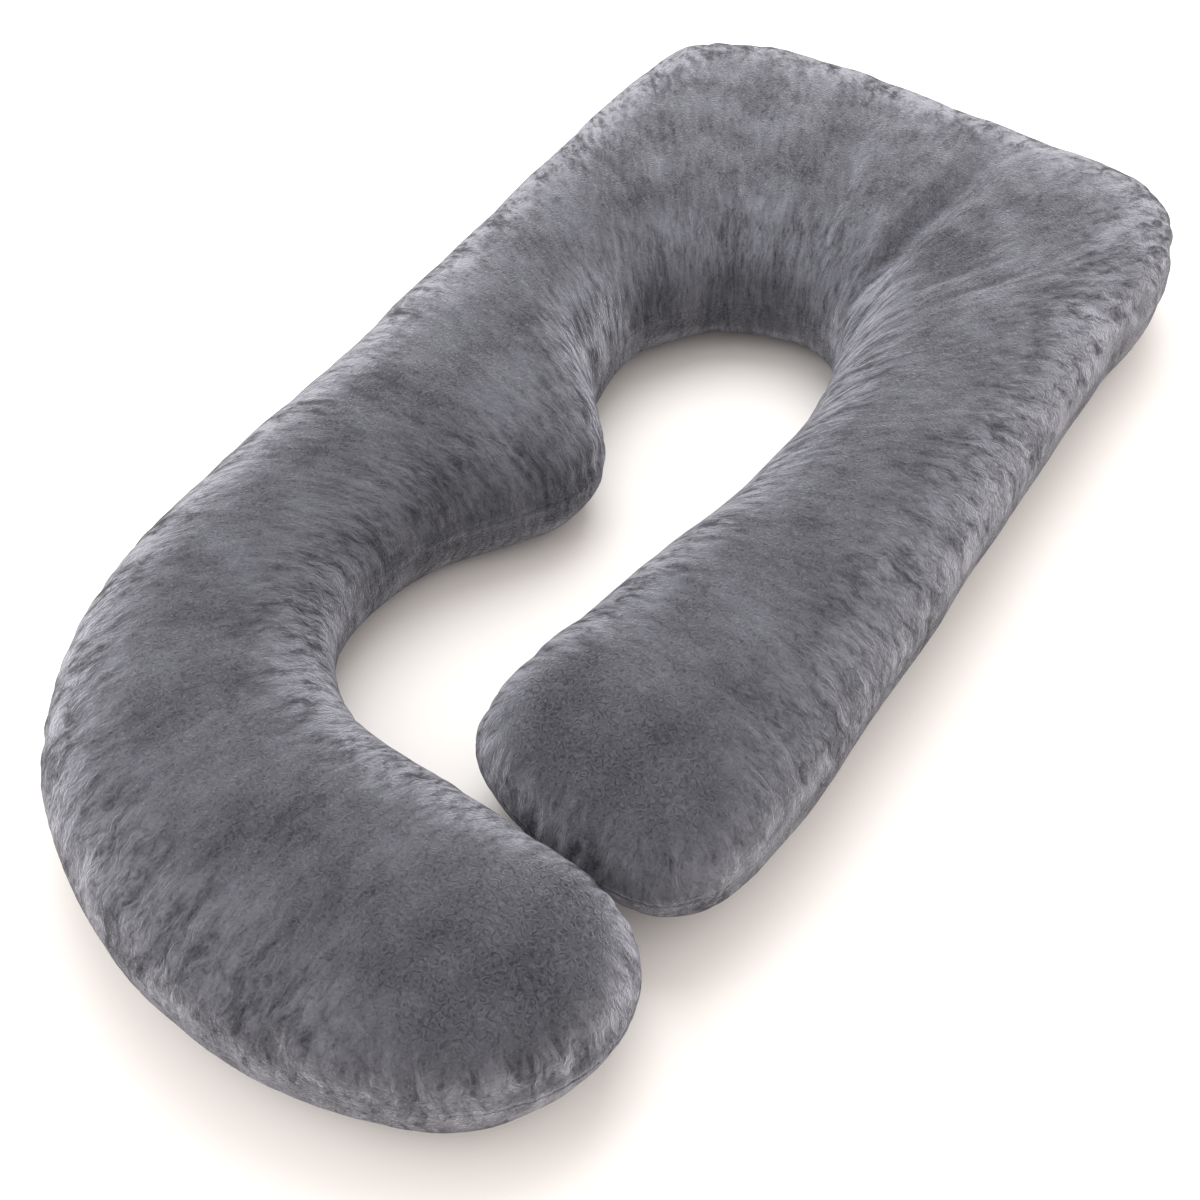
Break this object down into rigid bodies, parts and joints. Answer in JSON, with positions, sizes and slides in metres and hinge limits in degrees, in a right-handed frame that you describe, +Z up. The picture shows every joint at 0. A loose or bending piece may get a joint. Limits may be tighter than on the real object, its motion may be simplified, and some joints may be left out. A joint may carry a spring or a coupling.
{
  "type": "full-body pillow, G-shaped",
  "caption": "Full-length G-shaped body pillow lying flat: deep head end, straight leg, and a longer leg with a belly swell and a hooked foot; velour cover with one perimeter seam.",
  "frame": {"origin": "on the surface that the pillow lies on, below the centre of its bounding box", "axes": "+Y towards the head end, +X towards the straight leg, +Z up"},
  "size_m": [0.7368, 1.4954, 0.192],
  "materials": {
    "velour": "short brushed velour pile in mid grey, crushed into lighter and darker patches, with a soft sheen at grazing angles"
  },
  "bodies": {
    "root": {"pillow": "velour"}
  },
  "joints": []
}
